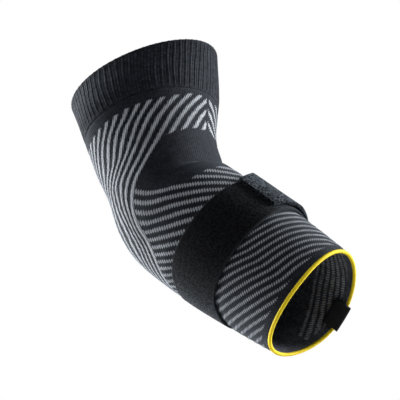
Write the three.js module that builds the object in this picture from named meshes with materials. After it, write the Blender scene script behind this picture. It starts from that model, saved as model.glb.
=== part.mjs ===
// Elbow support: a bent knitted tube with a ribbed upper cuff, a strap round the forearm and a bound rim.
// Millimetres, +Z up. +X is the front of the elbow, where the crook is, and Y is the elbow's hinge axis.
// The origin is where the axes of the upper arm and the forearm cross.

import * as THREE from 'three';

// The arm that fills the support: lengths run from the elbow's centre along the two axes
const upperLength = 99;
const forearmLength = 125.5;
const upperLean = 18;
const forearmDrop = 40;
const crookRadius = 6;

// Outer sizes of the tube, front to back and side to side
const cuffDepth = 114;
const cuffWidth = 93.5;
const elbowDepth = 81;
const elbowWidth = 83;
const rimDepth = 78.5;
const rimWidth = 81;

// The cut of the two openings: how far the edge runs on or falls back round the arm
const cuffSlant = 1;
const rimSlant = 1;
const rimWave = 2.3;

// Knit
const knitWall = 1.8;
const cuffHeight = 34.5;
const cuffWall = 2.2;
const cuffRounding = 0.5;
const ribCount = 72;
const ribDepth = 0.6;
const bindingSize = 2.4;

// Strap and its hook-and-loop tab. The strap draws the knit in behind the arm, over a shoulder at each edge.
const strapDistance = 42;
const strapWidth = 37;
const strapThickness = 1.8;
const strapRounding = 0.6;
const strapSqueeze = 1.5;
const strapShoulder = 7;
const tabThickness = 2.4;
const tabBulge = 0.8;
const tabFlare = 0.3;

// Folded label inside the forearm opening
const labelWidth = 19.5;
const labelReach = 4.2;
const labelLength = 9;
const labelHem = 1.5;
const labelLeaf = 0.6;
const labelFold = 0.4;
const labelTurn = 86;

// Clearance that separate pieces keep, and the facets round the arm
const clearance = 0.3;
const sleeveSides = 48;

const radians = THREE.MathUtils.degToRad;
const clamp = THREE.MathUtils.clamp;

// Sections of the tube from the cuff's rim to the forearm rim. place is a share of the stretch, and the
// reach in front, behind, on the near side and on the far side is a share of the depth or width there.
const cuffSize = { depth: cuffDepth, width: cuffWidth };
const elbowSize = { depth: elbowDepth, width: elbowWidth };
const rimSize = { depth: rimDepth, width: rimWidth };
const sections = [
  { stretch: 'upper', place: 0.0, size: cuffSize, front: 0.515, back: 0.48, near: 0.493, far: 0.507 },
  { stretch: 'upper', place: 0.3, size: cuffSize, front: 0.438, back: 0.448, near: 0.564, far: 0.552 },
  { stretch: 'upper', place: 0.65, size: elbowSize, front: 0.475, back: 0.617, near: 0.53, far: 0.53 },
  { stretch: 'bend', place: 0.0, size: elbowSize, front: 0.428, back: 0.568, near: 0.515, far: 0.51 },
  { stretch: 'bend', place: 0.5, size: elbowSize, front: 0.504, back: 0.592, near: 0.52, far: 0.515 },
  { stretch: 'bend', place: 1.0, size: elbowSize, front: 0.51, back: 0.602, near: 0.537, far: 0.53 },
  { stretch: 'forearm', place: 0.33, size: rimSize, front: 0.541, back: 0.602, near: 0.554, far: 0.551 },
  { stretch: 'forearm', place: 0.66, size: rimSize, front: 0.546, back: 0.548, near: 0.53, far: 0.531 },
  { stretch: 'forearm', place: 1.0, size: rimSize, front: 0.533, back: 0.476, near: 0.51, far: 0.49 },
];

// How far the strap's upper edge slips towards the rim round the arm, as a share of the strap's width
const strapPath = [
  { turn: 0, slip: 0 },
  { turn: 60, slip: 0.03 },
  { turn: 120, slip: 0.15 },
  { turn: 180, slip: 0.22 },
  { turn: 205, slip: 0.16 },
  { turn: 225, slip: 0.05 },
  { turn: 250, slip: 0 },
  { turn: 360, slip: 0 },
];

// The tab from its free end on the near side, over the front, to its sewn root on the far side.
// upper and lower are how far its edges lie past the strap's, as shares of the strap's width, and
// bulge and flare are shares of tabBulge and tabFlare.
const tabPath = [
  { turn: -31, upper: 0.0, lower: -0.13, bulge: 0, flare: 0 },
  { turn: -13, upper: 0.1, lower: -0.07, bulge: 0.7, flare: 0.5 },
  { turn: 1, upper: 0.21, lower: -0.03, bulge: 1, flare: 1 },
  { turn: 16, upper: 0.19, lower: -0.07, bulge: 1, flare: 1 },
  { turn: 45, upper: 0.04, lower: -0.05, bulge: 0, flare: 0 },
];

// Lengths along the arm, measured as runs from the cuff's rim
const widestCrook = Math.max(...sections.filter((row) => row.stretch === 'bend').map((row) => row.front));
const bendRadius = crookRadius + widestCrook * elbowDepth;
const upperHeading = radians(upperLean);
const forearmHeading = radians(90 - forearmDrop);
const bendAngle = forearmHeading - upperHeading;
const bendTangent = bendRadius * Math.tan(bendAngle / 2);
const bendLength = bendRadius * bendAngle;
const upperStraight = upperLength - bendTangent;
const forearmStraight = forearmLength - bendTangent;
const forearmStart = upperStraight + bendLength;
const rimRun = forearmStart + forearmStraight;
const sleeveEnd = rimRun - bindingSize / 2 - clearance;

const stretches = {
  upper: { start: 0, length: upperStraight },
  bend: { start: upperStraight, length: bendLength },
  forearm: { start: forearmStart, length: forearmStraight },
};

// Monotone cubic through the given places, so that nothing overshoots between two rows
function curveThrough(places, values) {
  const steps = places.slice(1).map((place, i) => place - places[i]);
  const rises = steps.map((step, i) => (values[i + 1] - values[i]) / step);
  const slopes = places.map((place, i) => {
    if (i === 0) return rises[0];
    if (i === places.length - 1) return rises[i - 1];
    if (rises[i - 1] * rises[i] <= 0) return 0;
    const before = 2 * steps[i] + steps[i - 1];
    const after = steps[i] + 2 * steps[i - 1];
    return (before + after) / (before / rises[i - 1] + after / rises[i]);
  });
  return (at) => {
    const place = clamp(at, places[0], places[places.length - 1]);
    const i = Math.min(places.findLastIndex((start) => start <= place), steps.length - 1);
    const t = (place - places[i]) / steps[i];
    const bend = slopes[i] * steps[i] * t * (1 - t) ** 2 - slopes[i + 1] * steps[i] * t ** 2 * (1 - t);
    return values[i] * (1 + 2 * t) * (1 - t) ** 2 + values[i + 1] * t ** 2 * (3 - 2 * t) + bend;
  };
}

function columnCurve(rows, placeOf, valueOf) {
  return curveThrough(rows.map(placeOf), rows.map(valueOf));
}

const runOf = (row) => stretches[row.stretch].start + row.place * stretches[row.stretch].length;
const reach = {
  front: columnCurve(sections, runOf, (row) => row.front * row.size.depth),
  back: columnCurve(sections, runOf, (row) => row.back * row.size.depth),
  near: columnCurve(sections, runOf, (row) => row.near * row.size.width),
  far: columnCurve(sections, runOf, (row) => row.far * row.size.width),
};

const strapStart = forearmStart - bendTangent + strapDistance;
const strapSlip = columnCurve(strapPath, (row) => radians(row.turn), (row) => row.slip * strapWidth);

function strapEdge(turn) {
  return strapStart + strapSlip((turn + 2 * Math.PI) % (2 * Math.PI));
}

// How far the strap draws the knit in: nothing at the front, most behind the arm
function squeeze(run, turn) {
  const inside = Math.min(run - strapEdge(turn), strapEdge(turn) + strapWidth - run);
  return strapSqueeze * clamp(1 + inside / strapShoulder, 0, 1) * (0.5 - 0.5 * Math.cos(turn));
}

// A place on the tube, in the section's own axes: out to the front, aside along Y, and on along the arm.
// turn goes round from the front by way of the far side, and lift is measured out from the knit's face.
function sectionPoint(run, turn, lift) {
  const depth = Math.cos(turn) > 0 ? reach.front(run) : reach.back(run);
  const width = Math.sin(turn) > 0 ? reach.far(run) : reach.near(run);
  const raised = lift - squeeze(run, turn);
  const cuffShare = clamp(1 - run / upperStraight, 0, 1);
  const rimShare = clamp((run - forearmStart) / forearmStraight, 0, 1);
  const cuffShift = -cuffSlant * Math.cos(turn);
  const rimShift = rimSlant * (Math.sin(turn) - Math.cos(turn)) - rimWave * Math.cos(2 * turn);
  return {
    out: (depth + raised) * Math.cos(turn),
    aside: (width + raised) * Math.sin(turn),
    on: cuffShare * cuffShift + rimShare * rimShift,
  };
}

// The same place on the straight upper arm or forearm, in the frame of the group that carries it
function onUpperArm(run, turn, lift) {
  const { out, aside, on } = sectionPoint(run, turn, lift);
  return new THREE.Vector3(out, aside, upperLength - run - on);
}

function onForearm(run, turn, lift) {
  const { out, aside, on } = sectionPoint(run, turn, lift);
  return new THREE.Vector3(out, aside, forearmStart - bendTangent - run - on);
}

// The same place on the whole bent tube
function onBentArm(run, turn, lift) {
  const { out, aside, on } = sectionPoint(run, turn, lift);
  const heading = upperHeading + clamp(run - upperStraight, 0, bendLength) / bendRadius;
  const travel = new THREE.Vector3(Math.sin(heading), 0, -Math.cos(heading));
  const forward = new THREE.Vector3(Math.cos(heading), 0, Math.sin(heading));
  const centre = new THREE.Vector3();
  if (run <= upperStraight) {
    centre.addScaledVector(travel, run - upperLength);
  } else if (run >= forearmStart) {
    centre.addScaledVector(travel, bendTangent + run - forearmStart);
  } else {
    centre.set(-Math.sin(upperHeading), 0, Math.cos(upperHeading)).multiplyScalar(bendTangent);
    centre.x += bendRadius * (Math.cos(upperHeading) - Math.cos(heading));
    centre.z += bendRadius * (Math.sin(upperHeading) - Math.sin(heading));
  }
  return centre.addScaledVector(travel, on).addScaledVector(forward, out).setY(aside);
}

function spread(from, to, count) {
  return Array.from({ length: count + 1 }, (unused, i) => from + ((to - from) * i) / count);
}

function turnsAround(count) {
  return spread(0, 2 * Math.PI, count).slice(0, count);
}

function signedVolume(points, faces) {
  let total = 0;
  for (let i = 0; i < faces.length; i += 3) {
    const [a, b, c] = [points[faces[i]], points[faces[i + 1]], points[faces[i + 2]]];
    total += a.dot(b.clone().cross(c)) / 6;
  }
  return total;
}

// One closed body that follows the arm. Each row of rowsAt has a run and the lifts of its two faces.
// A band goes round the arm and meets itself, and a patch stops at its first and last turn.
function wallGeometry(placeOn, turns, rowsAt, meetsItself) {
  const loops = turns.map((turn, i) => {
    const rows = rowsAt(turn, i);
    const outer = rows.map((row) => placeOn(row.run, turn, row.outer));
    const inner = rows.map((row) => placeOn(row.innerRun ?? row.run, turn, row.inner));
    return [...outer, ...inner.reverse()];
  });
  const size = loops[0].length;
  const faces = [];
  const joined = meetsItself ? loops.length : loops.length - 1;
  for (let i = 0; i < joined; i += 1) {
    const here = i * size;
    const next = ((i + 1) % loops.length) * size;
    for (let j = 0; j < size; j += 1) {
      const k = (j + 1) % size;
      faces.push(here + j, next + j, next + k, here + j, next + k, here + k);
    }
  }
  if (!meetsItself) {
    const last = (loops.length - 1) * size;
    for (let j = 0; j < size / 2 - 1; j += 1) {
      const [a, b, c, d] = [j, j + 1, size - 2 - j, size - 1 - j];
      faces.push(a, b, c, a, c, d);
      faces.push(last + a, last + c, last + b, last + a, last + d, last + c);
    }
  }
  const points = loops.flat();
  if (signedVolume(points, faces) < 0) faces.reverse();
  const geometry = new THREE.BufferGeometry().setFromPoints(points);
  geometry.setIndex(faces);
  geometry.computeVertexNormals();
  return geometry;
}

function namedMesh(name, geometry, color, roughness) {
  const mesh = new THREE.Mesh(geometry, new THREE.MeshStandardMaterial({ color, roughness, metalness: 0 }));
  mesh.name = name;
  return mesh;
}

// Depths across one rib of the cuff, from its crest to its valley and back, as shares of ribDepth
const ribProfile = [0, 0.25, 1, 0.25];

// Ribbed cuff: crests and valleys alternate round it, and its rim is rounded
function makeUpperCuff() {
  const rowsAt = (turn, i) => {
    const relief = -ribDepth * ribProfile[i % ribProfile.length];
    const full = { outer: relief, inner: relief - cuffWall };
    return [
      { run: 0, outer: relief - cuffRounding, inner: relief - cuffWall + cuffRounding },
      { run: cuffRounding * 2, ...full },
      { run: cuffHeight / 2, ...full },
      { run: cuffHeight, ...full },
    ];
  };
  return wallGeometry(onUpperArm, turnsAround(ribCount * ribProfile.length), rowsAt, true);
}

// Bent sleeve below the cuff, with closer rows in the bend and rows that follow the strap's edges
function makeKnitSleeve() {
  const rowsAt = (turn) => {
    const edge = strapEdge(turn);
    const runs = [
      ...spread(cuffHeight + clearance, upperStraight, 5),
      ...spread(upperStraight, forearmStart, 5).slice(1),
      ...spread(forearmStart, edge - strapShoulder, 2).slice(1),
      ...spread(edge, edge + strapWidth, 2),
      ...spread(edge + strapWidth + strapShoulder, sleeveEnd, 3),
    ];
    return runs.map((run) => ({ run, outer: 0, inner: -knitWall }));
  };
  return wallGeometry(onBentArm, turnsAround(sleeveSides), rowsAt, true);
}

// Round edge along the forearm rim, centred on the knit's wall
function makeRimBinding() {
  const radius = bindingSize / 2;
  const rowsAt = () => [1, 3, 5, 7].map((eighth) => {
    const angle = (eighth * Math.PI) / 8;
    const half = radius * Math.sin(angle);
    return {
      run: rimRun - radius * Math.cos(angle),
      outer: half - knitWall / 2,
      inner: -half - knitWall / 2,
    };
  });
  return wallGeometry(onForearm, turnsAround(sleeveSides), rowsAt, true);
}

const strapFace = clearance + strapThickness;

// Elastic strap round the forearm, its edges a little thinner than its middle
function makeForearmStrap() {
  const rowsAt = (turn) => {
    const edge = strapEdge(turn);
    const thin = { outer: strapFace - strapRounding, inner: clearance };
    const full = { outer: strapFace, inner: clearance };
    return [
      { run: edge, ...thin },
      { run: edge + strapRounding * 2, ...full },
      { run: edge + strapWidth / 2, ...full },
      { run: edge + strapWidth - strapRounding * 2, ...full },
      { run: edge + strapWidth, ...thin },
    ];
  };
  return wallGeometry(onForearm, turnsAround(sleeveSides), rowsAt, true);
}

// Tab over the strap: it widens from its free end to the front of the arm, and stands off there
function makeStrapTab() {
  const turnOf = (row) => radians(row.turn);
  const upper = columnCurve(tabPath, turnOf, (row) => row.upper * strapWidth);
  const lower = columnCurve(tabPath, turnOf, (row) => row.lower * strapWidth);
  const bulge = columnCurve(tabPath, turnOf, (row) => row.bulge * tabBulge);
  const flare = columnCurve(tabPath, turnOf, (row) => row.flare * tabFlare);
  const rowsAt = (turn) => {
    const start = strapEdge(turn) - upper(turn);
    const end = strapEdge(turn) + strapWidth + lower(turn);
    const under = strapFace + clearance + bulge(turn);
    return [0, 0.04, 0.35, 0.65, 0.96, 1].map((share) => {
      const lift = under + flare(turn) * share ** 4;
      const edge = share === 0 || share === 1 ? strapRounding : 0;
      return { run: start + (end - start) * share, outer: lift + tabThickness - edge, inner: lift };
    });
  };
  const first = turnOf(tabPath[0]);
  const last = turnOf(tabPath[tabPath.length - 1]);
  return wallGeometry(onForearm, spread(first, last, 12), rowsAt, false);
}

// Label folded double at its outer end. It lies flat across the curve of the rim, inside the binding.
function makeRimLabel() {
  const radius = rimWidth / 2;
  const halfTurn = Math.asin(labelWidth / 2 / radius);
  const centre = radians(labelTurn);
  const seat = -knitWall / 2 - bindingSize / 2 - clearance - labelLeaf / 2;
  const foldRadius = (labelLeaf + labelFold) / 2;
  const foldRun = rimRun + labelReach - foldRadius;
  const leafRows = (runs, lift, side) => runs.map((run) => ({ run, lift, runSide: 0, liftSide: side }));
  const foldRows = [-45, 0, 45].map((angle) => ({
    run: foldRun + foldRadius * Math.cos(radians(angle)),
    lift: seat - foldRadius - foldRadius * Math.sin(radians(angle)),
    runSide: Math.cos(radians(angle)),
    liftSide: -Math.sin(radians(angle)),
  }));
  const line = [
    ...leafRows([rimRun - labelLength, rimRun, foldRun], seat, 1),
    ...foldRows,
    ...leafRows([foldRun, rimRun, rimRun - labelLength + labelHem], seat - 2 * foldRadius, -1),
  ];
  const rowsAt = (turn) => {
    const sag = radius * (1 - Math.cos(halfTurn) / Math.cos(turn - centre));
    const half = labelLeaf / 2;
    return line.map((row) => ({
      run: row.run + row.runSide * half,
      innerRun: row.run - row.runSide * half,
      outer: row.lift - sag + row.liftSide * half,
      inner: row.lift - sag - row.liftSide * half,
    }));
  };
  return wallGeometry(onForearm, spread(centre - halfTurn, centre + halfTurn, 6), rowsAt, false);
}

const upperArm = new THREE.Group();
upperArm.rotation.y = -upperHeading;
upperArm.add(namedMesh('upper_cuff', makeUpperCuff(), 0x2a2c33, 0.95));

const forearm = new THREE.Group();
forearm.rotation.y = -forearmHeading;
forearm.add(
  namedMesh('rim_binding', makeRimBinding(), 0xe3cf1c, 0.8),
  namedMesh('forearm_strap', makeForearmStrap(), 0x1b1c20, 0.9),
  namedMesh('strap_tab', makeStrapTab(), 0x3c3e46, 0.97),
  namedMesh('rim_label', makeRimLabel(), 0x141416, 0.7),
);

const elbowSupport = new THREE.Group();
elbowSupport.add(upperArm, forearm, namedMesh('knit_sleeve', makeKnitSleeve(), 0x2f323a, 0.95));

export default elbowSupport;
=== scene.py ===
import math

import bpy
import numpy as np
from mathutils import Matrix, Vector


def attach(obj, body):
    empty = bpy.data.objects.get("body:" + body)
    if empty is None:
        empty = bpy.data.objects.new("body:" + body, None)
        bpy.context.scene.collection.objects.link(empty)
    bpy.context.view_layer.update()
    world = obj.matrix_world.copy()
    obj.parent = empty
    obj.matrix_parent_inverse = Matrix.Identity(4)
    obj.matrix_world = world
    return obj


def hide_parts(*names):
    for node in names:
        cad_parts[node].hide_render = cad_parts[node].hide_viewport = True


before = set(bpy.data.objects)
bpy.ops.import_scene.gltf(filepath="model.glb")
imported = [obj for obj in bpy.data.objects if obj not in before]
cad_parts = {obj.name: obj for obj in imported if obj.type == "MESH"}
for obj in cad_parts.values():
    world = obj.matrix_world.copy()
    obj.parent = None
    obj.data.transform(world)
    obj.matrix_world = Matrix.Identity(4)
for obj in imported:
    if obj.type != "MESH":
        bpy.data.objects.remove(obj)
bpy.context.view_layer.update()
print("frame loaded:", ", ".join(sorted(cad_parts)))

# The bent form that the support keeps
arm = {
    "upperLength": 99.0, "forearmLength": 125.5, "upperLean": 18.0, "forearmDrop": 40.0, "crookRadius": 6.0,
    "cuffSlant": 1.0, "rimSlant": 1.0, "rimWave": 2.3,
    "strapDistance": 42.0, "strapWidth": 37.0, "strapSqueeze": 1.5, "strapShoulder": 7.0,
}
girths = {"cuff": (114.0, 93.5), "elbow": (81.0, 83.0), "rim": (78.5, 81.0)}   # depth and width
# the knit bridges the crook softly, above a slight waist
crook = {
    "turn": 25.0, "bridge": 1.0, "bridgeRun": 77.0, "bridgeReach": 8.0,
    "waist": 0.8, "waistRun": 60.0, "waistReach": 9.0,
}

# stretch, place along it, size, then the reach in front, behind, near side and far side as shares
sections = [
    ("upper", 0.0, "cuff", 0.515, 0.48, 0.493, 0.507),
    ("upper", 0.3, "cuff", 0.438, 0.448, 0.564, 0.552),
    ("upper", 0.65, "elbow", 0.475, 0.617, 0.53, 0.53),
    ("bend", 0.0, "elbow", 0.428, 0.568, 0.515, 0.51),
    ("bend", 0.5, "elbow", 0.504, 0.592, 0.52, 0.515),
    ("bend", 1.0, "elbow", 0.51, 0.602, 0.537, 0.53),
    ("forearm", 0.33, "rim", 0.541, 0.602, 0.554, 0.551),
    ("forearm", 0.66, "rim", 0.546, 0.548, 0.53, 0.531),
    ("forearm", 1.0, "rim", 0.533, 0.476, 0.51, 0.49),
]
# turn round the arm, and how far the strap slips towards the rim there, as a share of its width
strapPath = [(0, 0), (60, 0.03), (120, 0.15), (180, 0.22), (205, 0.16), (225, 0.05), (250, 0), (360, 0)]


def curveThrough(places, values):
    # monotone cubic, so nothing overshoots between two places
    x, y = np.asarray(places, float), np.asarray(values, float)
    step = np.diff(x)
    rise = np.diff(y) / step
    slope = np.zeros(len(x))
    slope[0], slope[-1] = rise[0], rise[-1]
    for i in range(1, len(x) - 1):
        if rise[i - 1] * rise[i] > 0:
            before, after = 2 * step[i] + step[i - 1], step[i] + 2 * step[i - 1]
            slope[i] = (before + after) / (before / rise[i - 1] + after / rise[i])

    def at(place):
        place = np.clip(place, x[0], x[-1])
        i = np.clip(np.searchsorted(x, place, side="right") - 1, 0, len(step) - 1)
        t = (place - x[i]) / step[i]
        bend = slope[i] * step[i] * t * (1 - t) ** 2 - slope[i + 1] * step[i] * t * t * (1 - t)
        return y[i] * (1 + 2 * t) * (1 - t) ** 2 + y[i + 1] * t * t * (3 - 2 * t) + bend
    return at


bendRadius = arm["crookRadius"] + max(row[3] for row in sections if row[0] == "bend") * girths["elbow"][0]
upperHeading = math.radians(arm["upperLean"])
forearmHeading = math.radians(90 - arm["forearmDrop"])
bendTangent = bendRadius * math.tan((forearmHeading - upperHeading) / 2)
bendLength = bendRadius * (forearmHeading - upperHeading)
upperStraight = arm["upperLength"] - bendTangent
forearmStraight = arm["forearmLength"] - bendTangent
forearmStart = upperStraight + bendLength
rimRun = forearmStart + forearmStraight
strapStart = forearmStart - bendTangent + arm["strapDistance"]

stretches = {
    "upper": (0, upperStraight),
    "bend": (upperStraight, bendLength),
    "forearm": (forearmStart, forearmStraight),
}
sectionRuns = [stretches[row[0]][0] + row[1] * stretches[row[0]][1] for row in sections]
reach = [
    curveThrough(sectionRuns, [row[column] * girths[row[2]][side] for row in sections])
    for column, side in ((3, 0), (4, 0), (5, 1), (6, 1))
]
strapSlip = curveThrough([row[0] for row in strapPath], [row[1] * arm["strapWidth"] for row in strapPath])


def strapEdge(turn):
    return strapStart + strapSlip(np.mod(turn, 360))


def armPoint(run, turn, lift=0.0):
    # run along the arm from the cuff's rim, turn in degrees from the front by way of the far side
    run, turn, lift = np.broadcast_arrays(*(np.asarray(v, float) for v in (run, turn, lift)))
    c, s = np.cos(np.radians(turn)), np.sin(np.radians(turn))
    inside = np.minimum(run - strapEdge(turn), strapEdge(turn) + arm["strapWidth"] - run)
    drawnIn = arm["strapSqueeze"] * np.clip(1 + inside / arm["strapShoulder"], 0, 1) * (0.5 - 0.5 * c)
    bridge = crook["bridge"] * np.exp(-((run - crook["bridgeRun"]) / crook["bridgeReach"]) ** 2)
    bridge = bridge - crook["waist"] * np.exp(-((run - crook["waistRun"]) / crook["waistReach"]) ** 2)
    lift = lift + bridge * np.clip(np.cos(np.radians(turn - crook["turn"])), 0, 1) ** 4
    out = (np.where(c > 0, reach[0](run), reach[1](run)) + lift - drawnIn) * c
    aside = (np.where(s > 0, reach[3](run), reach[2](run)) + lift - drawnIn) * s
    on = np.clip(1 - run / upperStraight, 0, 1) * -arm["cuffSlant"] * c
    rimShare = np.clip((run - forearmStart) / forearmStraight, 0, 1)
    on = on + rimShare * (arm["rimSlant"] * (s - c) - arm["rimWave"] * np.cos(2 * np.radians(turn)))
    heading = upperHeading + np.clip(run - upperStraight, 0, bendLength) / bendRadius
    x = -math.sin(upperHeading) * bendTangent + bendRadius * (math.cos(upperHeading) - np.cos(heading))
    z = math.cos(upperHeading) * bendTangent + bendRadius * (math.sin(upperHeading) - np.sin(heading))
    before, after = np.minimum(run - upperStraight, 0), np.maximum(run - forearmStart, 0)
    x = x + math.sin(upperHeading) * before + math.sin(forearmHeading) * after
    z = z - math.cos(upperHeading) * before - math.cos(forearmHeading) * after
    x = x + np.sin(heading) * on + np.cos(heading) * out
    z = z - np.cos(heading) * on + np.sin(heading) * out
    return np.stack([x, aside, z], -1) * 0.001


# Meshes that follow the arm
def bandLoop(start, end, under, over, rounding, outerCount, innerCount, arcCount=3):
    # one closed loop of rows from the outer face round both edges and the inner face
    sizes = (np.atleast_1d(np.asarray(size, float)) for size in (start, end, under, over))
    start, end, under, over = np.broadcast_arrays(*sizes)
    r = rounding
    rows = [(start + r + (end - start - 2 * r) * i / outerCount, over, 0) for i in range(outerCount + 1)]
    for i in range(1, arcCount + 1):
        a = math.pi / 2 * i / (arcCount + 1)
        rows.append((end - r + r * math.sin(a), over - r + r * math.cos(a), 0))
    for i in range(1, arcCount + 1):
        a = math.pi / 2 * i / (arcCount + 1)
        rows.append((end - r + r * math.cos(a), under + r - r * math.sin(a), 1))
    rows += [(end - r + (start - end + 2 * r) * i / innerCount, under, 1) for i in range(innerCount + 1)]
    for i in range(1, arcCount + 1):
        a = math.pi / 2 * i / (arcCount + 1)
        rows.append((start + r - r * math.sin(a), under + r - r * math.cos(a), 1))
    for i in range(1, arcCount + 1):
        a = math.pi / 2 * i / (arcCount + 1)
        rows.append((start + r - r * math.cos(a), over - r + r * math.sin(a), 0))
    runs = np.array([row[0] for row in rows])
    lifts = np.array([row[1] for row in rows])
    return runs, lifts, np.array([row[2] for row in rows])


def setNumbers(mesh, name, values):
    mesh.attributes.new(name, "FLOAT", "POINT").data.foreach_set("value", np.asarray(values, "f").ravel())


def wallMesh(name, turns, runs, lifts, closed, point=armPoint):
    # runs and lifts have a row for each line along the wall and a column for each turn
    rowCount, turnCount = runs.shape
    turnGrid = np.broadcast_to(turns, runs.shape)
    points = point(runs, turnGrid, lifts)
    index = np.arange(rowCount * turnCount).reshape(rowCount, turnCount)
    nextRow = np.roll(index, -1, axis=0)
    if closed:
        here, there = index, np.roll(index, -1, axis=1)
        hereUp, thereUp = nextRow, np.roll(nextRow, -1, axis=1)
    else:
        here, there, hereUp, thereUp = index[:, :-1], index[:, 1:], nextRow[:, :-1], nextRow[:, 1:]
    quads = np.stack([here, there, thereUp, hereUp], -1).reshape(-1, 4)
    faces = quads.tolist()
    if not closed:
        for column in (0, turnCount - 1):
            for i in range(rowCount // 2 - 1):
                a, b, c, d = (int(index[j, column]) for j in (i, i + 1, rowCount - 2 - i, rowCount - 1 - i))
                faces.append([a, b, c, d] if column == 0 else [d, c, b, a])
    flat = points.reshape(-1, 3)
    a, b, c = flat[quads[:, 0]], flat[quads[:, 1]], flat[quads[:, 2]]
    d = flat[quads[:, 3]]
    volume = np.einsum("ij,ij->i", a, np.cross(b, c)).sum() + np.einsum("ij,ij->i", a, np.cross(c, d)).sum()
    if volume < 0:
        faces = [face[::-1] for face in faces]
    mesh = bpy.data.meshes.new(name)
    mesh.from_pydata(flat.tolist(), [], faces)
    mesh.polygons.foreach_set("use_smooth", np.ones(len(mesh.polygons), bool))
    # turns and runs of each face corner, so that a pattern doesn't jump where the wall meets itself
    corner = np.zeros(len(mesh.loops), "i")
    mesh.loops.foreach_get("vertex_index", corner)
    u = (turnGrid.ravel()[corner]).copy()
    v = runs.ravel()[corner]
    if closed:
        sizes = np.zeros(len(mesh.polygons), "i")
        mesh.polygons.foreach_get("loop_total", sizes)
        face = np.repeat(np.arange(len(sizes)), sizes)
        highest = np.full(len(sizes), -1e9)
        np.maximum.at(highest, face, u)
        u[(highest[face] - u) > 180] += 360
    uv = mesh.uv_layers.new(name="wall")
    uv.data.foreach_set("uv", np.stack([u, v], -1).astype("f").ravel())
    setNumbers(mesh, "round", turnGrid / 360)
    mesh.validate()
    made = bpy.data.objects.new(name, mesh)
    bpy.context.scene.collection.objects.link(made)
    return made


def connect(tree, source, socket):
    if isinstance(source, bpy.types.NodeSocket):
        tree.links.new(source, socket)
    elif source is not None:
        socket.default_value = source


def addNode(tree, kind, inputs=None, **settings):
    made = tree.nodes.new(kind)
    for key, value in settings.items():
        setattr(made, key, value)
    for key, value in (inputs or {}).items():
        connect(tree, value, made.inputs[key])
    return made


def calc(tree, operation, a, b=None, c=None):
    made = addNode(tree, "ShaderNodeMath", operation=operation)
    for socket, value in zip(made.inputs, (a, b, c)):
        connect(tree, value, socket)
    return made.outputs[0]


# Relief of ribs and stripes, by Geometry Nodes
def newGeometryTree(name, numbers):
    tree = bpy.data.node_groups.new(name, "GeometryNodeTree")
    tree.interface.new_socket("Geometry", in_out="INPUT", socket_type="NodeSocketGeometry")
    for key, value in numbers.items():
        socket = tree.interface.new_socket(key, in_out="INPUT", socket_type="NodeSocketFloat")
        socket.default_value = value
    tree.interface.new_socket("Finish", in_out="INPUT", socket_type="NodeSocketMaterial")
    tree.interface.new_socket("Geometry", in_out="OUTPUT", socket_type="NodeSocketGeometry")
    return tree, tree.nodes.new("NodeGroupInput"), tree.nodes.new("NodeGroupOutput")


def endGeometryTree(tree, start, end, geometry):
    whole = addNode(tree, "GeometryNodeRealizeInstances", {"Geometry": geometry})
    finish = addNode(tree, "GeometryNodeSetMaterial", {
        "Geometry": whole.outputs[0], "Material": start.outputs["Finish"]})
    tree.links.new(finish.outputs[0], end.inputs["Geometry"])


def namedNumber(tree, name):
    read = addNode(tree, "GeometryNodeInputNamedAttribute", data_type="FLOAT")
    read.inputs["Name"].default_value = name
    return read.outputs["Attribute"]


def makeReliefTree():
    # ribs run along the arm, crest to valley, and raised stripes come from the "raise" attribute
    sizes = {"Ribs": 144.0, "Depth": 0.0005, "Double": 0.0, "Twist": 0.0, "Rise": 0.0}
    tree, start, end = newGeometryTree("ribRelief", sizes)
    along = calc(tree, "MULTIPLY", namedNumber(tree, "round"), start.outputs["Ribs"])
    across = calc(tree, "MULTIPLY", namedNumber(tree, "across"), start.outputs["Twist"])
    count = calc(tree, "ADD", calc(tree, "ADD", along, across), namedNumber(tree, "wander"))
    # one valley for each rib, blended with two, for the finer ribs between
    single, double = (
        calc(tree, "MULTIPLY_ADD", calc(tree, "COSINE", calc(tree, "MULTIPLY", count, angle)), -0.5, 0.5)
        for angle in (2 * math.pi, 4 * math.pi)
    )
    difference = calc(tree, "SUBTRACT", double, single)
    valley = calc(tree, "MULTIPLY_ADD", difference, start.outputs["Double"], single)
    valley = calc(tree, "MULTIPLY", valley, namedNumber(tree, "fade"))
    cut = calc(tree, "MULTIPLY", valley, start.outputs["Depth"])
    rise = calc(tree, "MULTIPLY", namedNumber(tree, "raise"), start.outputs["Rise"])
    amount = calc(tree, "SUBTRACT", rise, cut)
    offset = addNode(tree, "ShaderNodeVectorMath", operation="SCALE")
    tree.links.new(addNode(tree, "GeometryNodeInputNormal").outputs[0], offset.inputs[0])
    connect(tree, amount, offset.inputs["Scale"])
    moved = addNode(tree, "GeometryNodeSetPosition", {
        "Geometry": start.outputs["Geometry"], "Offset": offset.outputs[0]})
    endGeometryTree(tree, start, end, moved.outputs[0])
    return tree


def growWith(made, tree, finish, **numbers):
    # sets the tree's inputs by identifier, then turns the result into a plain mesh
    modifier = made.modifiers.new("grown", "NODES")
    modifier.node_group = tree
    for socket in tree.interface.items_tree:
        if socket.in_out == "INPUT" and socket.name in numbers:
            modifier[socket.identifier] = numbers[socket.name]
        elif socket.in_out == "INPUT" and socket.name == "Finish":
            modifier[socket.identifier] = finish
    graph = bpy.context.evaluated_depsgraph_get()
    mesh = bpy.data.meshes.new_from_object(made.evaluated_get(graph))
    made.modifiers.remove(modifier)
    mesh.name = made.name
    made.data = mesh
    if not mesh.materials:
        mesh.materials.append(finish)
    mesh.polygons.foreach_set("use_smooth", np.ones(len(mesh.polygons), bool))
    return made


reliefTree = makeReliefTree()


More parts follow.
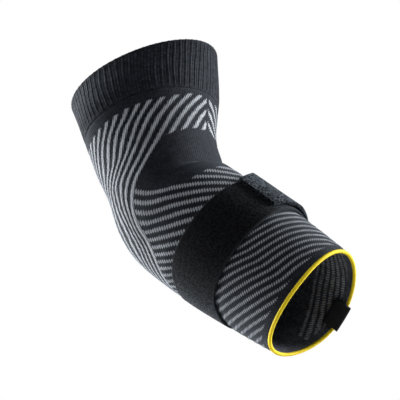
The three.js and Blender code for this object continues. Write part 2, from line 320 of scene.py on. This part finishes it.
# Finishes
def newFinish(name, roughness, sheen=0.0, sheenRoughness=0.5, specular=0.3):
    material = bpy.data.materials.new(name)
    material.use_nodes = True
    shader = material.node_tree.nodes["Principled BSDF"]
    shader.inputs["Roughness"].default_value = roughness
    shader.inputs["Sheen Weight"].default_value = sheen
    shader.inputs["Sheen Roughness"].default_value = sheenRoughness
    shader.inputs["Sheen Tint"].default_value = (0.68, 0.84, 1.0, 1)
    shader.inputs["Specular IOR Level"].default_value = specular
    return material, material.node_tree, shader


def readNumber(tree, name):
    return addNode(tree, "ShaderNodeAttribute", attribute_name=name).outputs["Fac"]


def step(tree, value, low, high, toLow=0.0, toHigh=1.0):
    made = addNode(tree, "ShaderNodeMapRange", interpolation_type="SMOOTHSTEP", inputs={
        "Value": value, "From Min": low, "From Max": high, "To Min": toLow, "To Max": toHigh})
    return made.outputs[0]


def blendColour(tree, share, first, second):
    made = addNode(tree, "ShaderNodeMix", data_type="RGBA")
    connect(tree, share, made.inputs[0])
    for socket, colour in ((made.inputs[6], first), (made.inputs[7], second)):
        connect(tree, (*colour, 1) if isinstance(colour, tuple) else colour, socket)
    return made.outputs[2]


def scaleColour(tree, colour, amount):
    made = addNode(tree, "ShaderNodeVectorMath", operation="SCALE")
    connect(tree, colour, made.inputs[0])
    connect(tree, amount, made.inputs["Scale"])
    return made.outputs[0]


def noise(tree, vector, scale, detail=2.0, roughness=0.5):
    made = addNode(tree, "ShaderNodeTexNoise", {
        "Vector": vector, "Scale": scale, "Detail": detail, "Roughness": roughness})
    return made.outputs["Fac"]


def knitCoordinates(tree, wales, courseHeight):
    # wale and course counts from the wall's own map of turns and runs
    wall = addNode(tree, "ShaderNodeUVMap", uv_map="wall").outputs[0]
    split = addNode(tree, "ShaderNodeSeparateXYZ", {"Vector": wall})
    wale = calc(tree, "MULTIPLY", split.outputs[0], wales / 360)
    course = calc(tree, "DIVIDE", split.outputs[1], courseHeight)
    return wall, wale, course


def knitLoops(tree, wale, course, slope):
    # each loop is a V of two legs: height of the yarn, and a number of its own for each loop
    side = calc(tree, "ABSOLUTE", calc(tree, "SUBTRACT", calc(tree, "FRACT", wale), 0.5))
    slanted = calc(tree, "MULTIPLY_ADD", side, slope, course)
    along = calc(tree, "ABSOLUTE", calc(tree, "SUBTRACT", calc(tree, "FRACT", slanted), 0.5))
    leg = step(tree, calc(tree, "ABSOLUTE", calc(tree, "SUBTRACT", side, 0.25)), 0.25, 0.02)
    crest = step(tree, along, 0.5, 0.12)
    height = calc(tree, "MULTIPLY", leg, calc(tree, "MULTIPLY_ADD", crest, 0.7, 0.3))
    cell = addNode(tree, "ShaderNodeCombineXYZ", {
        "X": calc(tree, "FLOOR", wale), "Y": calc(tree, "FLOOR", slanted)})
    own = addNode(tree, "ShaderNodeTexWhiteNoise", {"Vector": cell.outputs[0]}, noise_dimensions="3D")
    return height, own.outputs["Value"], side


def bump(tree, shader, height, distance, strength=1.0):
    made = addNode(tree, "ShaderNodeBump", {"Height": height, "Distance": distance, "Strength": strength})
    tree.links.new(made.outputs[0], shader.inputs["Normal"])


knit = {
    "wales": 144, "courseHeight": 1.3, "wall": 1.8,
    "dark": (0.0105, 0.012, 0.0165), "light": (0.5, 0.53, 0.575),
    # painted light: both inside colours are made lighter than the outside ones, standing in for light that
    # reaches into the opening; the dots of light yarn inside are real
    "insideDark": (0.055, 0.058, 0.07), "insideLight": (0.66, 0.68, 0.72), "insideWiden": 0.11,
    "grain": 0.05, "lean": 0.26, "betweenStripes": 0.25,
}


# family, width as a share of the pitch, how dark the gaps between its threads are, as painted shade, and its
# strength
stripeFamilies = [("upper", 0.39, 0.5, 0.98), ("lower", 0.42, 0.75, 0.65), ("forearm", 0.37, 0.95, 0.57)]


def makeSleeveFinish():
    material, tree, shader = newFinish("sleeveKnit", 0.92, 0.12, 0.45, 0.15)
    wall, wale, course = knitCoordinates(tree, knit["wales"], knit["courseHeight"])
    height, own, _ = knitLoops(tree, wale, course, 1.6)
    # light stripes are rows of leaning threads, one for each wale, so their edges step from wale to wale; each
    # thread is painted as one lit leg of a loop, with painted shade on the other leg and in the gap to the next
    # wale
    leaning = calc(tree, "FRACT", calc(tree, "MULTIPLY_ADD", course, 0.3, wale))
    across = calc(tree, "SUBTRACT", leaning, 0.5)
    grain = calc(tree, "SUBTRACT", own, 0.5)
    ragged = calc(tree, "MULTIPLY_ADD", grain, knit["grain"], calc(tree, "MULTIPLY", across, knit["lean"]))
    thread = step(tree, calc(tree, "ABSOLUTE", across), 0.47, 0.22)
    inside = readNumber(tree, "inside")
    stripe, patterned = None, None
    for family, width, gap, strength in stripeFamilies:
        phase = readNumber(tree, "forearmHelix" if family == "forearm" else family + "Stripe")
        phase = calc(tree, "ADD", phase, calc(tree, "ADD", ragged, 0.5))
        away = calc(tree, "ABSOLUTE", calc(tree, "SUBTRACT", calc(tree, "FRACT", phase), 0.5))
        wide = calc(tree, "MULTIPLY_ADD", inside, knit["insideWiden"], width / 2)
        band = step(tree, away, calc(tree, "ADD", wide, 0.03), calc(tree, "SUBTRACT", wide, 0.03))
        area = calc(tree, "MULTIPLY_ADD", ragged, 4.0, readNumber(tree, family + "Area"))
        area = step(tree, area, -0.2, 0.2)
        band = calc(tree, "MULTIPLY", band, area)
        threads = calc(tree, "MULTIPLY_ADD", thread, gap * strength, (1 - gap) * strength)
        band = calc(tree, "MULTIPLY", band, threads)
        # painted shade greys the upper stripes beside the front
        if family == "upper":
            band = calc(tree, "MULTIPLY", band, readNumber(tree, "tone"))
        stripe = band if stripe is None else calc(tree, "MAXIMUM", stripe, band)
        patterned = area if patterned is None else calc(tree, "MAXIMUM", patterned, area)
    # painted shade: both yarns are darker where the loops dip and between them, and lighter on their crests;
    # own gives each loop a tone of its own
    lightShade = calc(tree, "MULTIPLY_ADD", height, 0.35, calc(tree, "MULTIPLY_ADD", own, 0.25, 0.6))
    # inside, the light yarn shows only as dots between the floats of the dark one
    dotted = calc(tree, "MULTIPLY_ADD", height, 0.8, calc(tree, "MULTIPLY_ADD", own, 0.5, 0.05))
    lightShade = calc(tree, "MULTIPLY_ADD", calc(tree, "SUBTRACT", dotted, lightShade), inside, lightShade)
    darkShade = calc(tree, "MULTIPLY_ADD", height, 0.5, calc(tree, "MULTIPLY_ADD", own, 0.9, 0.35))
    darker = calc(tree, "MULTIPLY_ADD", patterned, -knit["betweenStripes"], 1.0)
    darkShade = calc(tree, "MULTIPLY", darkShade, darker)
    # painted light: the inner face takes the lighter inside colours
    light = blendColour(tree, inside, knit["light"], knit["insideLight"])
    dark = blendColour(tree, inside, knit["dark"], knit["insideDark"])
    colour = blendColour(tree, stripe, scaleColour(tree, dark, darkShade), scaleColour(tree, light, lightShade))
    uneven = noise(tree, wall, 0.06)
    colour = scaleColour(tree, colour, calc(tree, "MULTIPLY_ADD", uneven, 0.5, 0.75))
    tree.links.new(colour, shader.inputs["Base Color"])
    bump(tree, shader, height, 0.0003, 0.7)
    return material


def makeCuffFinish():
    material, tree, shader = newFinish("cuffRib", 0.92, 0.12, 0.45, 0.15)
    wall, wale, course = knitCoordinates(tree, knit["wales"], 1.1)
    height, own, side = knitLoops(tree, calc(tree, "ADD", wale, 0.5), course, 1.3)
    # painted shade: each wale is darker at its edges than along its middle, and the loops darker where they
    # dip; own gives each loop a tone of its own
    crest = step(tree, calc(tree, "SUBTRACT", 0.5, side), 0.05, 0.45)
    shade = calc(tree, "MULTIPLY_ADD", height, 0.8, calc(tree, "MULTIPLY_ADD", own, 0.9, 0.05))
    shade = calc(tree, "MULTIPLY", shade, calc(tree, "MULTIPLY_ADD", crest, 0.7, 0.6))
    tree.links.new(scaleColour(tree, (0.0118, 0.0138, 0.0195), shade), shader.inputs["Base Color"])
    tree.links.new(calc(tree, "MULTIPLY_ADD", shade, 0.1, 0.04), shader.inputs["Sheen Weight"])
    bump(tree, shader, height, 0.0002, 0.6)
    return material


def makeBindingFinish():
    material, tree, shader = newFinish("yellowEdge", 0.7, 0.0, 0.5, 0.3)
    place = addNode(tree, "ShaderNodeTexCoord").outputs["Object"]
    fibre = noise(tree, place, 900.0, 3.0)
    shade = calc(tree, "MULTIPLY_ADD", fibre, 0.4, 0.8)
    tree.links.new(scaleColour(tree, (0.8, 0.6, 0.004), shade), shader.inputs["Base Color"])
    bump(tree, shader, fibre, 0.0002, 0.4)
    return material


def makeStrapFinish():
    material, tree, shader = newFinish("strapElastic", 0.95, 0.16, 0.4, 0.1)
    place = addNode(tree, "ShaderNodeTexCoord").outputs["Object"]
    tufts = noise(tree, place, 800.0, 1.0, 0.6)
    patches = noise(tree, place, 260.0, 2.0)
    shade = calc(tree, "MULTIPLY_ADD", step(tree, tufts, 0.4, 0.62), 1.4, 0.35)
    shade = calc(tree, "MULTIPLY", shade, calc(tree, "MULTIPLY_ADD", patches, 0.8, 0.6))
    ground = scaleColour(tree, (0.0038, 0.004, 0.0051), shade)
    # painted highlight: a lighter line along both edges of the strap, where its rounded edges catch the light
    paintedEdgeHighlight = step(tree, readNumber(tree, "edgeAway"), 1.3, 0.9)
    colour = blendColour(tree, paintedEdgeHighlight, ground, (0.013, 0.014, 0.017))
    tree.links.new(colour, shader.inputs["Base Color"])
    tree.links.new(calc(tree, "MULTIPLY", shade, 0.1), shader.inputs["Sheen Weight"])
    bump(tree, shader, tufts, 0.0006, 0.8)
    return material


def makeTabFinish():
    material, tree, shader = newFinish("tabFleece", 0.97, 0.25, 0.5, 0.08)
    place = addNode(tree, "ShaderNodeTexCoord").outputs["Object"]
    fibres = noise(tree, place, 720.0, 1.0, 0.6)
    clumps = noise(tree, place, 300.0, 2.0)
    shade = calc(tree, "MULTIPLY_ADD", step(tree, fibres, 0.42, 0.6), 2.0, 0.15)
    shade = calc(tree, "MULTIPLY", shade, calc(tree, "MULTIPLY_ADD", clumps, 0.8, 0.6))
    tree.links.new(scaleColour(tree, (0.0076, 0.0083, 0.0107), shade), shader.inputs["Base Color"])
    tree.links.new(calc(tree, "MULTIPLY", shade, 0.11), shader.inputs["Sheen Weight"])
    bump(tree, shader, fibres, 0.0006, 0.9)
    return material


def makeLabelFinish():
    material, tree, shader = newFinish("labelRibbon", 0.6, 0.1, 0.4, 0.35)
    wall = addNode(tree, "ShaderNodeUVMap", uv_map="wall").outputs[0]
    split = addNode(tree, "ShaderNodeSeparateXYZ", {"Vector": wall})
    across = calc(tree, "SINE", calc(tree, "MULTIPLY", split.outputs[1], 2 * math.pi / 0.5))
    along = calc(tree, "SINE", calc(tree, "MULTIPLY", split.outputs[0], 2 * math.pi / 0.6))
    weave = calc(tree, "MULTIPLY_ADD", calc(tree, "MULTIPLY", across, along), 0.5, 0.5)
    shade = calc(tree, "MULTIPLY_ADD", weave, 0.5, 0.75)
    tree.links.new(scaleColour(tree, (0.0075, 0.0075, 0.0085), shade), shader.inputs["Base Color"])
    bump(tree, shader, weave, 0.0001, 0.5)
    return material


# Stripe pattern of the sleeve
# Turns in degrees at which stripes +4, 0, -1, -2, -3, -4, -6, -8 and -12 of the upper family cross each run
stripeNumbers = [4, 0, -1, -2, -3, -4, -6, -8, -12]
stripeChart = [
    (36, 384, 339, 328, 316, 304.5, 293, 270, 252, 214),
    (44, 371, 325, 314, 302, 291, 281, 260, 241, 204),
    (52, 359, 313, 301, 289, 278, 266.5, 248, 230, 195),
    (60, 349.5, 303, 291, 278.5, 268.5, 259, 242, 222, 188),
    (68, 339, 293, 280, 267.5, 260, 252, 235.5, 213.5, 181),
    (76, 326, 280, 267.5, 257, 247, 239, 222, 203, 176),
    (84, 312, 266, 255, 244, 234.5, 227.5, 213, 194, 172),
    (92, 300, 254, 244.5, 238, 232, 226, 209, 188, 165),
    (100, 290, 244.5, 239.5, 235, 230.5, 225, 202, 178, 155),
    (108, 284, 238.3, 234.3, 230, 225.5, 216, 187, 165, 142),
    (116, 280, 233.7, 228.3, 221, 210, 196, 169, 149, 127),
    (124, 271, 226, 216.5, 204, 192, 174, 150, 131, 109),
    (132, 257, 212, 199.5, 184, 171, 153, 131, 112, 90),
    (144, 233, 187, 172, 156, 143, 125, 103, 84, 62),
]
# by turn: runs of the first lower stripe and of the forearm's winding, its pitch, and the upper stripes' ends
lowerStart = [
    (177, 12), (200, 38), (220, 58.3), (240, 79.4), (260, 96.6),
    (280, 110.5), (300, 123), (320, 135), (340, 144.4), (360, 148),
]
forearmWinding = [
    (177, 152.5), (200, 160.5), (220, 168), (240, 176.5), (260, 185), (270, 189.5),
    (280, 193.6), (300, 197.8), (320, 201.6), (340, 206.2), (360, 209.8),
]
forearmPitch = [
    (177, 5.9), (220, 5.85), (240, 5.7), (260, 5.45), (280, 5.05),
    (300, 4.75), (320, 4.9), (340, 5.25), (360, 5.8),
]
shortEnds = [(300, 65.5), (306, 65), (321, 62.9), (334, 61.2), (346, 60.7), (360, 60.3)]
upperLimit = [
    (177, 43.5), (230, 42.5), (250, 41.5), (280, 40.7), (310, 40.3), (325, 39.3), (338, 38.2), (360, 38),
]
pattern = {
    "centreTurn": 357.0, "centreGap": 1.9, "farRise": 0.974, "farSpread": 0.42, "farReach": 40.0,
    "lowerPitch": 8.4, "lowerTop": 117.5, "lowerMargin": 3.4, "lowerLead": 4.2, "upperMargin": 0.42,
    "rimBand": 218.2, "degree": 0.75,   # degree: millimetres to a degree of turn
}


def chartCurve(rows, column=1):
    return curveThrough([row[0] for row in rows], [row[column] for row in rows])


def helixPhase(run, turn, farSide):
    # the forearm's stripes wind round it as one helix, and close behind it
    centre = pattern["centreTurn"]
    b = centre - np.abs((turn - centre + 180) % 360 - 180)
    winding = chartCurve(forearmWinding)
    past = winding(centre) + (winding(centre) - winding(b)) * pattern["farRise"]
    return (run - np.where(farSide, past, winding(b))) / chartCurve(forearmPitch)(b)


def setHelix(mesh):
    # set at the face corners, all corners of a face on the same side, so that the join behind the arm is clean
    uv = np.zeros(len(mesh.loops) * 2, "f")
    mesh.uv_layers["wall"].data.foreach_get("uv", uv)
    turn, run = uv.reshape(-1, 2).T.astype(float)
    sizes = np.zeros(len(mesh.polygons), "i")
    mesh.polygons.foreach_get("loop_total", sizes)
    starts = np.r_[0, np.cumsum(sizes)[:-1]]
    middle = np.repeat(np.add.reduceat(turn, starts) / sizes, sizes)
    farSide = (middle - pattern["centreTurn"] + 180) % 360 - 180 > 0
    values = helixPhase(run, turn, farSide)
    mesh.attributes.new("forearmHelix", "FLOAT", "CORNER").data.foreach_set("value", values.astype("f"))


def stripeFields(run, turn):
    # the pattern is mirrored about the plane of the bend
    centre = pattern["centreTurn"]
    away = (turn - centre + 180) % 360 - 180
    b = centre - np.abs(away)
    # the far side's upper stripes spread wider next to the centre
    spread = np.where(away > 0, pattern["farSpread"] * np.exp(-(away / pattern["farReach"]) ** 2), 0)
    upperTurn = centre - np.abs(away) * (1 - spread)
    lines = [chartCurve(stripeChart, i + 1)(run) for i in range(len(stripeNumbers))]
    upper = np.zeros(run.shape)
    for i in range(len(lines) - 1):
        share = (lines[i] - upperTurn) / (lines[i] - lines[i + 1])
        inSpan = (share >= 0) | (i == 0)
        upper = np.where(inSpan, stripeNumbers[i] + share * (stripeNumbers[i + 1] - stripeNumbers[i]), upper)
    degree = pattern["degree"]
    start = chartCurve(lowerStart)(b)
    lower = (run - start) / pattern["lowerPitch"]
    forearm = helixPhase(run, turn, away > 0)
    shortSide = chartCurve(shortEnds)(b) - run
    longSide = (pattern["upperMargin"] - upper) * (lines[1] - lines[2]) * degree
    upperArea = np.minimum(np.maximum(shortSide, longSide), run - chartCurve(upperLimit)(b))
    upperArea = np.minimum(upperArea, (centre - pattern["centreGap"] - b) * degree)
    lowerArea = run - np.minimum(start - pattern["lowerLead"], pattern["lowerTop"])
    lowerArea = np.minimum(lowerArea, (b - lines[1] - pattern["lowerMargin"]) * degree)
    strapMiddle = strapEdge(turn) + arm["strapWidth"] / 2
    lowerArea = np.minimum(lowerArea, strapMiddle - run)
    upperArea = np.minimum(upperArea, strapMiddle - run)
    forearmArea = np.minimum(run - strapMiddle, pattern["rimBand"] - run)
    return {"upperStripe": upper, "lowerStripe": lower, "forearmStripe": forearm,
            "upperArea": upperArea, "lowerArea": lowerArea, "forearmArea": forearmArea}


def stripeRaise(fields):
    # soft height of the light stripes, 1 on a stripe and 0 between two
    total = 0
    for family in ("upper", "lower", "forearm"):
        away = np.abs((fields[family + "Stripe"] + 0.5) % 1 - 0.5)
        band = np.clip((0.34 - away) / 0.2, 0, 1)
        total = np.maximum(total, band * np.clip(fields[family + "Area"] + 0.5, 0, 1))
    return total


# Pieces
rimEdgeSize = 2.4
strapOver = 2.1   # height of the strap's face above the knit


def makeCuff():
    cuff = {
        "height": 34.5, "wall": 2.2, "ribs": 72, "ribDepth": 0.6, "double": 0.5, "sidesPerRib": 14,
        "rows": 30, "foot": 2.5, "rim": 3.0, "wander": 0.07,
    }
    turns = np.arange(cuff["ribs"] * cuff["sidesPerRib"]) * 360 / (cuff["ribs"] * cuff["sidesPerRib"])
    runs, lifts, inner = bandLoop(0, cuff["height"], -cuff["wall"], 0, 0.9, cuff["rows"], 6)
    size = (len(inner), len(turns))
    runGrid, liftGrid = (np.broadcast_to(values, size).copy() for values in (runs, lifts))
    made = wallMesh("ribbedCuff", turns, runGrid, liftGrid, True)
    # the ribs are shallower at both edges and on the inside
    fade = np.clip((cuff["height"] - runs[:, 0]) / cuff["foot"], 0, 1)
    fade = fade * np.clip(runs[:, 0] / cuff["rim"], 0.4, 1) * np.where(inner == 1, 0.5, 1)
    setNumbers(made.data, "fade", np.broadcast_to(fade[:, None], size))
    wander = np.sin(np.radians(turns * 7) + runs * 0.12) + 0.7 * np.sin(np.radians(turns * 19) - runs * 0.2)
    setNumbers(made.data, "wander", cuff["wander"] * wander)
    growWith(made, reliefTree, makeCuffFinish(), Ribs=float(cuff["ribs"]), Depth=cuff["ribDepth"] / 1000,
             Double=cuff["double"], Twist=0.0, Rise=0.0)
    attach(made, "root")
    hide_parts("upper_cuff")
    return made


def makeSleeve():
    sleeve = {
        "start": 34.6, "end": rimRun - 1.3, "sidesPerWale": 3, "rows": 180, "innerRows": 36,
        "waleDepth": 0.22, "rise": 0.25, "insideStripe": -6.1, "insidePitch": 5.5, "insideTurn": 128.0,
        "greyer": 0.38, "greyerTurn": 40.0, "greyerReach": 28.0, "rebate": 0.35, "rebateRun": 1.6,
    }
    count = knit["wales"] * sleeve["sidesPerWale"]
    turns = np.arange(count) * 360 / count
    runs, lifts, inner = bandLoop(
        sleeve["start"], sleeve["end"], -knit["wall"], 0, 0.5, sleeve["rows"], sleeve["innerRows"], 2)
    size = (len(inner), count)
    runs, lifts = np.broadcast_to(runs, size).copy(), np.broadcast_to(lifts, size).copy()
    turnGrid = np.broadcast_to(turns, size)
    fields = stripeFields(runs, turnGrid)
    outer = np.broadcast_to((inner == 0)[:, None], size)
    # painted shade: inside, the forearm's stripes show only near the rim and in the front half, and are left
    # out in the back half, where the inside lies in shade
    insideEdge = (fields["forearmStripe"] - sleeve["insideStripe"]) * sleeve["insidePitch"]
    insideEdge = np.minimum(insideEdge, fields["forearmArea"])
    sideways = np.abs((turnGrid + 180) % 360 - 180)
    insideEdge = np.minimum(insideEdge, (sleeve["insideTurn"] - sideways) * pattern["degree"])
    fields["forearmArea"] = np.where(outer, fields["forearmArea"], insideEdge)
    underStrap = np.minimum(runs - strapEdge(turnGrid), strapEdge(turnGrid) + arm["strapWidth"] - runs)
    rebate = np.clip(1 - (runs - sleeve["start"]) / sleeve["rebateRun"], 0, 1)
    lifts = lifts - np.where(outer, sleeve["rebate"] * rebate, 0)
    made = wallMesh("knitSleeve", turns, runs, lifts, True)
    for name, values in fields.items():
        setNumbers(made.data, name, values)
    free = np.clip(-underStrap / 1.5, 0, 1)
    setNumbers(made.data, "raise", stripeRaise(fields) * outer * free)
    setNumbers(made.data, "fade", np.where(outer, 1.0, 0.6))
    setNumbers(made.data, "inside", 1.0 - outer)
    # painted shade: the upper stripes are made greyer about 40 degrees either side of the front, where less
    # light falls on them
    fromFront = np.abs((turnGrid - pattern["centreTurn"] + 180) % 360 - 180)
    greyer = np.exp(-((fromFront - sleeve["greyerTurn"]) / sleeve["greyerReach"]) ** 2)
    setNumbers(made.data, "tone", 1 - sleeve["greyer"] * greyer)
    setHelix(made.data)
    growWith(made, reliefTree, makeSleeveFinish(), Ribs=float(knit["wales"]), Depth=sleeve["waleDepth"] / 1000,
             Double=0.0, Twist=0.0, Rise=sleeve["rise"] / 1000)
    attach(made, "root")
    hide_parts("knit_sleeve")
    return made


def makeBinding():
    edge = {"around": 16, "sides": 960, "ridges": 240, "ridgeDepth": 0.12, "twist": 3.0}
    turns = np.arange(edge["sides"]) * 360 / edge["sides"]
    angles = np.arange(edge["around"]) * 2 * math.pi / edge["around"]
    size = (edge["around"], edge["sides"])
    radius = rimEdgeSize / 2 + edge["ridgeDepth"] / 2
    runs = np.broadcast_to((rimRun - radius * np.cos(angles))[:, None], size).copy()
    lifts = np.broadcast_to((radius * np.sin(angles) - knit["wall"] / 2)[:, None], size).copy()
    made = wallMesh("rimEdge", turns, runs, lifts, True)
    setNumbers(made.data, "fade", np.ones(size))
    setNumbers(made.data, "across", np.broadcast_to((angles / (2 * math.pi))[:, None], size))
    growWith(made, reliefTree, makeBindingFinish(), Ribs=float(edge["ridges"]), Depth=edge["ridgeDepth"] / 1000,
             Double=0.0, Twist=edge["twist"], Rise=0.0)
    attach(made, "root")
    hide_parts("rim_binding")
    return made


def makeStrap():
    strap = {"under": 0.3, "rounding": 0.6, "sides": 300, "rows": 40, "innerRows": 10}
    turns = np.arange(strap["sides"]) * 360 / strap["sides"]
    start = strapEdge(turns)
    end = start + arm["strapWidth"]
    runs, lifts, _ = bandLoop(
        start, end, strap["under"], strapOver, strap["rounding"], strap["rows"], strap["innerRows"])
    lifts = np.broadcast_to(lifts, runs.shape).copy()
    made = wallMesh("forearmStrap", turns, runs, lifts, True)
    setNumbers(made.data, "edgeAway", np.minimum(runs - start, end - runs))
    made.data.materials.append(makeStrapFinish())
    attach(made, "root")
    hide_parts("forearm_strap")
    return made


# the tab's turn, then how far its edges lie past the strap's, and its bulge and flare, as shares
tabPath = [
    (-31, 0.0, -0.13, 0, 0),
    (-13, 0.1, -0.07, 0.7, 0.5),
    (1, 0.21, -0.03, 1, 1),
    (16, 0.19, -0.07, 1, 1),
    (45, 0.04, -0.05, 0, 0),
]


def makeTab():
    tab = {
        "thickness": 2.4, "bulge": 0.8, "flare": 0.3, "gap": 0.3, "rounding": 0.7, "sides": 90, "rows": 44,
    }
    upper, lower, bulge, flare = (chartCurve(tabPath, column) for column in (1, 2, 3, 4))
    turns = np.linspace(tabPath[0][0], tabPath[-1][0], tab["sides"] + 1)
    start = strapEdge(turns) - upper(turns) * arm["strapWidth"]
    end = strapEdge(turns) + (1 + lower(turns)) * arm["strapWidth"]
    under = strapOver + tab["gap"] + bulge(turns) * tab["bulge"]
    over = under + tab["thickness"]
    runs, lifts, _ = bandLoop(start, end, under, over, tab["rounding"], tab["rows"], tab["rows"])
    share = (runs - start) / (end - start)
    lifts = lifts + flare(turns) * tab["flare"] * share ** 4
    made = wallMesh("strapTab", turns, runs, lifts, False)
    made.data.materials.append(makeTabFinish())
    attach(made, "root")
    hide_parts("strap_tab")
    return made


def makeLabel():
    label = {
        "width": 19.5, "reach": 4.2, "length": 9.0, "hem": 1.5, "leaf": 0.6, "fold": 0.4, "gap": 0.3,
        "turn": 86.0, "sides": 30,
    }
    radius = girths["rim"][1] / 2
    halfTurn = math.degrees(math.asin(label["width"] / 2 / radius))
    turns = np.linspace(label["turn"] - halfTurn, label["turn"] + halfTurn, label["sides"] + 1)
    seat = -knit["wall"] / 2 - rimEdgeSize / 2 - label["gap"] - label["leaf"] / 2
    foldRadius = (label["leaf"] + label["fold"]) / 2
    foldRun = rimRun + label["reach"] - foldRadius
    # middle of the ribbon: run, lift and the way out of its face, down the front leaf and back
    line = [(run, seat, 0, 1) for run in np.linspace(rimRun - label["length"], foldRun, 15)]
    for i in range(1, 8):
        a = math.pi / 2 - math.pi * i / 8
        c, s = math.cos(a), math.sin(a)
        line.append((foldRun + foldRadius * c, seat - foldRadius + foldRadius * s, c, s))
    back = rimRun - label["length"] + label["hem"]
    line += [(run, seat - 2 * foldRadius, 0, -1) for run in np.linspace(foldRun, back, 13)]
    half = label["leaf"] / 2
    rows = [(r + half * dr, l + half * dl) for r, l, dr, dl in line]
    rows += [(r - half * dr, l - half * dl) for r, l, dr, dl in reversed(line)]
    sag = radius * (1 - math.cos(math.radians(halfTurn)) / np.cos(np.radians(turns - label["turn"])))
    runs = np.array([np.full(len(turns), row[0]) for row in rows])
    lifts = np.array([row[1] - sag for row in rows])
    made = wallMesh("rimLabel", turns, runs, lifts, False)
    made.data.materials.append(makeLabelFinish())
    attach(made, "root")
    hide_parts("rim_label")
    return made


# Camera, floor and light
def makeCamera():
    # a bent tube fitted to both rims and the outline gives the photographed angle
    shot = {
        "azimuth": 26.94, "elevation": -16.05, "distance": 0.90418, "aside": 0.01421, "up": 0.00325,
        "lens": 118.93,
    }
    az, el = math.radians(shot["azimuth"]), math.radians(shot["elevation"])
    back = Vector((math.sin(az) * math.cos(el), -math.cos(az) * math.cos(el), math.sin(el)))
    right = Vector((math.cos(az), math.sin(az), 0))
    up = back.cross(right)
    data = bpy.data.cameras.new("camera")
    data.lens, data.sensor_width = shot["lens"], 36
    data.clip_start, data.clip_end = 0.05, 20
    camera = bpy.data.objects.new("camera", data)
    place = right * shot["aside"] + up * shot["up"] + back * shot["distance"]
    turn = Matrix((right, up, back)).transposed()
    camera.matrix_world = Matrix.Translation(place) @ turn.to_4x4()
    bpy.context.scene.collection.objects.link(camera)
    bpy.context.scene.camera = camera
    return camera


def addSoftLight(name, place, size, power, aim=(0.01, 0, 0), spread=180):
    data = bpy.data.lights.new(name, "AREA")
    data.spread = math.radians(spread)
    data.shape, data.size, data.size_y, data.energy = "RECTANGLE", size[0], size[1], power
    lamp = bpy.data.objects.new(name, data)
    lamp.location = place
    lamp.rotation_mode = "QUATERNION"
    lamp.rotation_quaternion = (Vector(aim) - Vector(place)).to_track_quat("-Z", "Y")
    bpy.context.scene.collection.objects.link(lamp)


def makeStudio():
    studio = {"floorDepth": 0.62, "floorSize": 6.0, "sky": 1.0, "room": 0.05, "floorGlow": 0.55}
    half = studio["floorSize"] / 2
    z = -studio["floorDepth"]
    mesh = bpy.data.meshes.new("studioFloor")
    corners = [(-half, -half, z), (half, -half, z), (half, half, z), (-half, half, z)]
    mesh.from_pydata(corners, [], [(0, 1, 2, 3)])
    floor = bpy.data.objects.new("studioFloor", mesh)
    bpy.context.scene.collection.objects.link(floor)
    material, tree, shader = newFinish("paleFloor", 0.9, 0.0, 0.5, 0.2)
    place = addNode(tree, "ShaderNodeTexCoord").outputs["Object"]
    tone = calc(tree, "MULTIPLY_ADD", noise(tree, place, 3.0), 0.02, 0.83)
    tree.links.new(scaleColour(tree, (1, 1, 1), tone), shader.inputs["Base Color"])
    # the floor looks as pale as the backdrop without lighting the piece from below
    shown = addNode(tree, "ShaderNodeLightPath").outputs["Is Camera Ray"]
    shader.inputs["Emission Color"].default_value = (1, 1, 1, 1)
    tree.links.new(calc(tree, "MULTIPLY", shown, studio["floorGlow"]), shader.inputs["Emission Strength"])
    mesh.materials.append(material)
    world = bpy.data.worlds.new("studio")
    world.use_nodes = True
    sky = world.node_tree
    backdrop = sky.nodes["Background"]
    backdrop.inputs["Color"].default_value = (1, 1, 1, 1)
    backdrop.inputs["Strength"].default_value = studio["sky"]
    room = addNode(sky, "ShaderNodeBackground", {"Color": (0.86, 0.92, 1.0, 1), "Strength": studio["room"]})
    seen = addNode(sky, "ShaderNodeLightPath").outputs["Is Camera Ray"]
    both = addNode(sky, "ShaderNodeMixShader", {0: seen, 1: room.outputs[0], 2: backdrop.outputs[0]})
    sky.links.new(both.outputs[0], sky.nodes["World Output"].inputs["Surface"])
    bpy.context.scene.world = world
    bpy.context.scene.view_settings.view_transform = "Standard"
    addSoftLight("leftSoftbox", (-1.0, 0.0, -0.1), (0.7, 1.4), 6.2, spread=80)
    addSoftLight("leftBackSoftbox", (-1.0, 0.25, 0.25), (0.6, 1.0), 4.8, spread=80)
    addSoftLight("rightSoftbox", (0.9, 0.75, 0.35), (0.7, 1.2), 11.2, spread=80)
    addSoftLight("frontSoftbox", (0.1, -0.9, 0.6), (0.6, 0.6), 0.8, (-0.02, 0, 0.06), spread=90)
    addSoftLight("fillSoftbox", (0.7, -0.5, 0.6), (0.6, 0.6), 0.55, spread=80)


makeCamera()
makeStudio()
print("camera and studio made")
makeCuff()
print("ribbed cuff made")
makeSleeve()
print("striped sleeve made")
makeBinding()
makeStrap()
makeTab()
makeLabel()
print("edge, strap, tab and label made")
